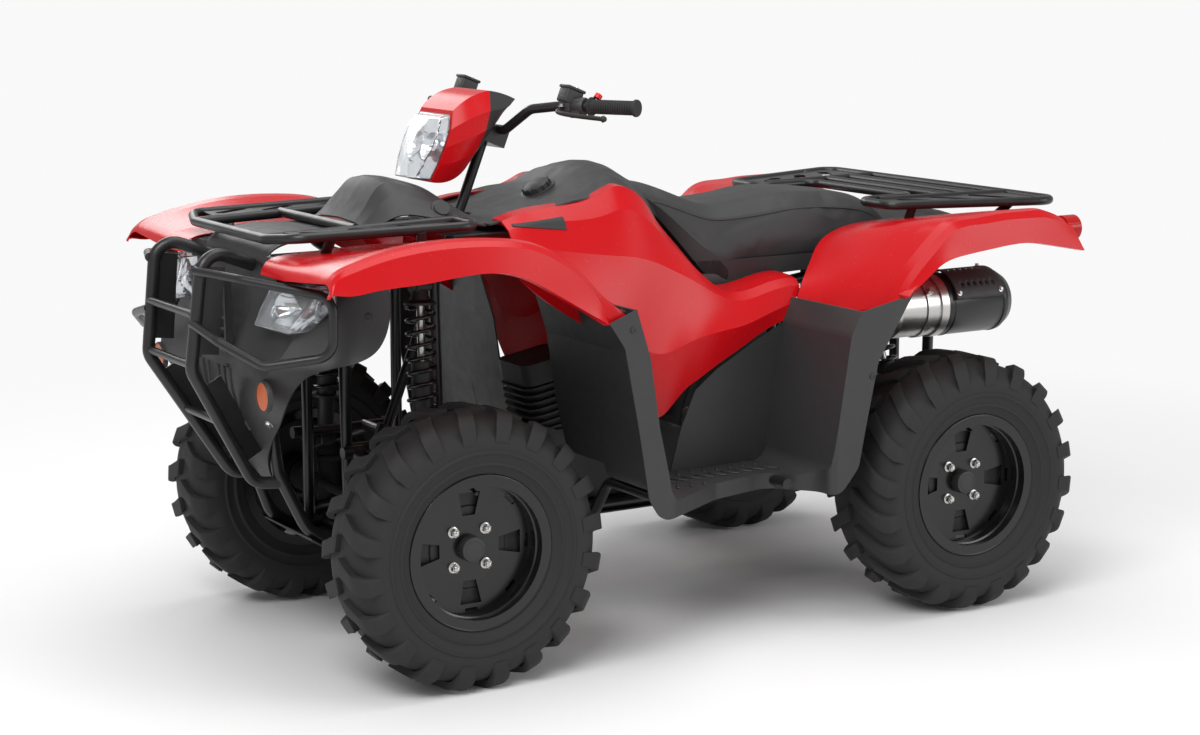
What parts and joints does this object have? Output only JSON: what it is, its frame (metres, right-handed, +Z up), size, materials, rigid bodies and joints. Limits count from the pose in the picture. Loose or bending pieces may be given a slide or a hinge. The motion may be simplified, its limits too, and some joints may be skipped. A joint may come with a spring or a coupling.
{
  "type": "quad bike",
  "caption": "Four-wheeled utility quad bike with front and rear racks, a tubular front guard, footwells, straddle seat, handlebar steering and free-turning low-pressure tyres.",
  "frame": {"origin": "on the ground, at the middle of the whole length and width", "axes": "+X forward, +Y to the rider's left, +Z up"},
  "size_m": [2.1485, 1.206, 1.281],
  "materials": {
    "tyre_rubber": "matt black rubber",
    "wheel_paint": "satin black",
    "frame_paint": "satin black",
    "rack_paint": "fine textured black",
    "red_plastic": "gloss red",
    "dark_plastic": "grained dark grey",
    "lamp_lens": "clear",
    "red_lens": "clear red",
    "amber_lens": "clear amber",
    "seat_vinyl": "grained dark grey vinyl",
    "grip_rubber": "matt black",
    "engine_alloy": "cast and painted",
    "steel": "brushed",
    "cast_metal": "cast, painted black",
    "spring_steel": "gloss black"
  },
  "bodies": {
    "chassis": {"frame_left": "frame_paint", "frame_right": "frame_paint", "cross_tubes": "frame_paint", "front_bumper": "rack_paint", "bumper_loops": "rack_paint", "front_rack": "rack_paint", "rear_rack": "rack_paint", "skid_plate": "dark_plastic", "hitch": "frame_paint", "engine": "engine_alloy", "drivetrain": "cast_metal", "exhaust_pipe": "steel", "silencer": "steel", "front_arms": "frame_paint", "rear_arms": "frame_paint", "front_dampers": "spring_steel", "rear_dampers": "spring_steel", "rear_carriers": "cast_metal", "front_fenders": "red_plastic", "rear_fenders": "red_plastic", "side_covers": "red_plastic", "footwells": "dark_plastic", "leg_shields": "dark_plastic", "tank_cover": "dark_plastic", "front_cowl": "dark_plastic", "front_hood": "dark_plastic", "front_panels": "dark_plastic", "rear_deck": "dark_plastic", "seat": "seat_vinyl", "headlamps": "lamp_lens", "grille": "dark_plastic", "tail_lamps": "red_lens", "reflectors": "amber_lens"},
    "steering": {"steering_shaft": "frame_paint", "handlebar": "rack_paint", "grips": "grip_rubber", "bar_controls": "dark_plastic", "pod_cover": "red_plastic", "pod_lamp": "lamp_lens", "pod_back": "dark_plastic"},
    "knuckle_left": {"knuckle_left": "cast_metal"},
    "tie_rod_left": {"tie_rod_left": "frame_paint"},
    "wheel_front_left": {"tyre_front_left": "tyre_rubber", "wheel_front_left": "wheel_paint"},
    "wheel_rear_left": {"tyre_rear_left": "tyre_rubber", "wheel_rear_left": "wheel_paint"},
    "knuckle_right": {"knuckle_right": "cast_metal"},
    "tie_rod_right": {"tie_rod_right": "frame_paint"},
    "wheel_front_right": {"tyre_front_right": "tyre_rubber", "wheel_front_right": "wheel_paint"},
    "wheel_rear_right": {"tyre_rear_right": "tyre_rubber", "wheel_rear_right": "wheel_paint"}
  },
  "joints": [
    {"name": "steer", "type": "hinge", "parent": "chassis", "child": "steering", "pos_m": [0.27, 0, 1.15], "axis": [-0.3746, 0, 0.9272], "range_deg": [-40, 40]},
    {"name": "kingpin_left", "type": "hinge", "parent": "chassis", "child": "knuckle_left", "pos_m": [0.575, 0.35, 0.306], "axis": [0, 0, 1], "range_deg": [-30, 30]},
    {"name": "tie_rod_pivot_left", "type": "hinge", "parent": "knuckle_left", "child": "tie_rod_left", "pos_m": [0.48, 0.33, 0.37], "axis": [0, 0, 1], "range_deg": [-30, 30]},
    {"name": "front_wheel_spin_left", "type": "hinge", "parent": "knuckle_left", "child": "wheel_front_left", "pos_m": [0.575, 0.445, 0.306], "axis": [0, 1, 0], "continuous": true},
    {"name": "rear_wheel_spin_left", "type": "hinge", "parent": "chassis", "child": "wheel_rear_left", "pos_m": [-0.731, 0.485, 0.306], "axis": [0, 1, 0], "continuous": true},
    {"name": "kingpin_right", "type": "hinge", "parent": "chassis", "child": "knuckle_right", "pos_m": [0.575, -0.35, 0.306], "axis": [0, 0, 1], "range_deg": [-30, 30]},
    {"name": "tie_rod_pivot_right", "type": "hinge", "parent": "knuckle_right", "child": "tie_rod_right", "pos_m": [0.48, -0.33, 0.37], "axis": [0, 0, 1], "range_deg": [-30, 30]},
    {"name": "front_wheel_spin_right", "type": "hinge", "parent": "knuckle_right", "child": "wheel_front_right", "pos_m": [0.575, -0.445, 0.306], "axis": [0, 1, 0], "continuous": true},
    {"name": "rear_wheel_spin_right", "type": "hinge", "parent": "chassis", "child": "wheel_rear_right", "pos_m": [-0.731, -0.485, 0.306], "axis": [0, 1, 0], "continuous": true}
  ],
  "couplings": [
    {"joint": "kingpin_left", "follows": "steer", "ratio": 0.75},
    {"joint": "tie_rod_pivot_left", "follows": "steer", "ratio": -0.75},
    {"joint": "kingpin_right", "follows": "steer", "ratio": 0.75},
    {"joint": "tie_rod_pivot_right", "follows": "steer", "ratio": -0.75}
  ]
}
